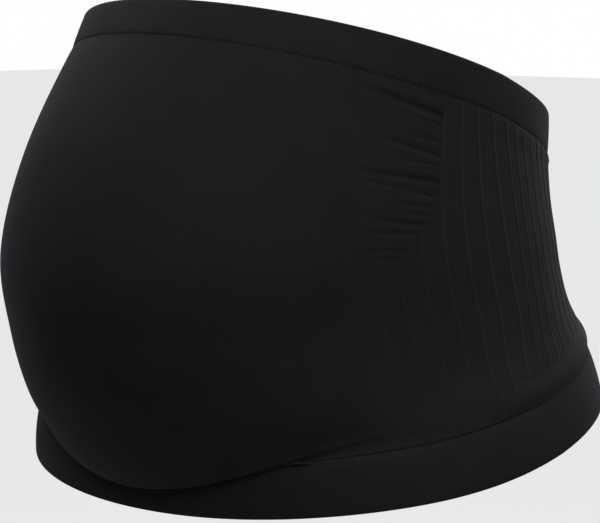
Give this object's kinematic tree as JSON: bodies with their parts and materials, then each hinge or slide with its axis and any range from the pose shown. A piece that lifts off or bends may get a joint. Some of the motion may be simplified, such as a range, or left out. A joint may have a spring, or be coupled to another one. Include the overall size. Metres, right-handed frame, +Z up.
{
  "type": "maternity support belt",
  "caption": "Seamless knitted tube in its worn form: doubled bands at top and hem, plain belly panel, ribbed panel under the belly and round the back.",
  "frame": {"origin": "on the body axis, level with the lowest point of the hem at the centre front, where the wearer's body holds the belt", "axes": "+Z up the body, -Y the wearer's front, +X the wearer's left"},
  "size_m": [0.3416, 0.3156, 0.2693],
  "materials": {
    "plain_jersey": "black fine-gauge nylon and elastane jersey, matt with a soft sheen",
    "ribbed_jersey": "black ribbed nylon and elastane jersey, matt",
    "doubled_rib_knit": "black doubled one-by-one rib knit, matt"
  },
  "bodies": {
    "root": {"top_band": "doubled_rib_knit", "belly_panel": "plain_jersey", "support_panel": "ribbed_jersey", "hem_band": "doubled_rib_knit"}
  },
  "joints": []
}
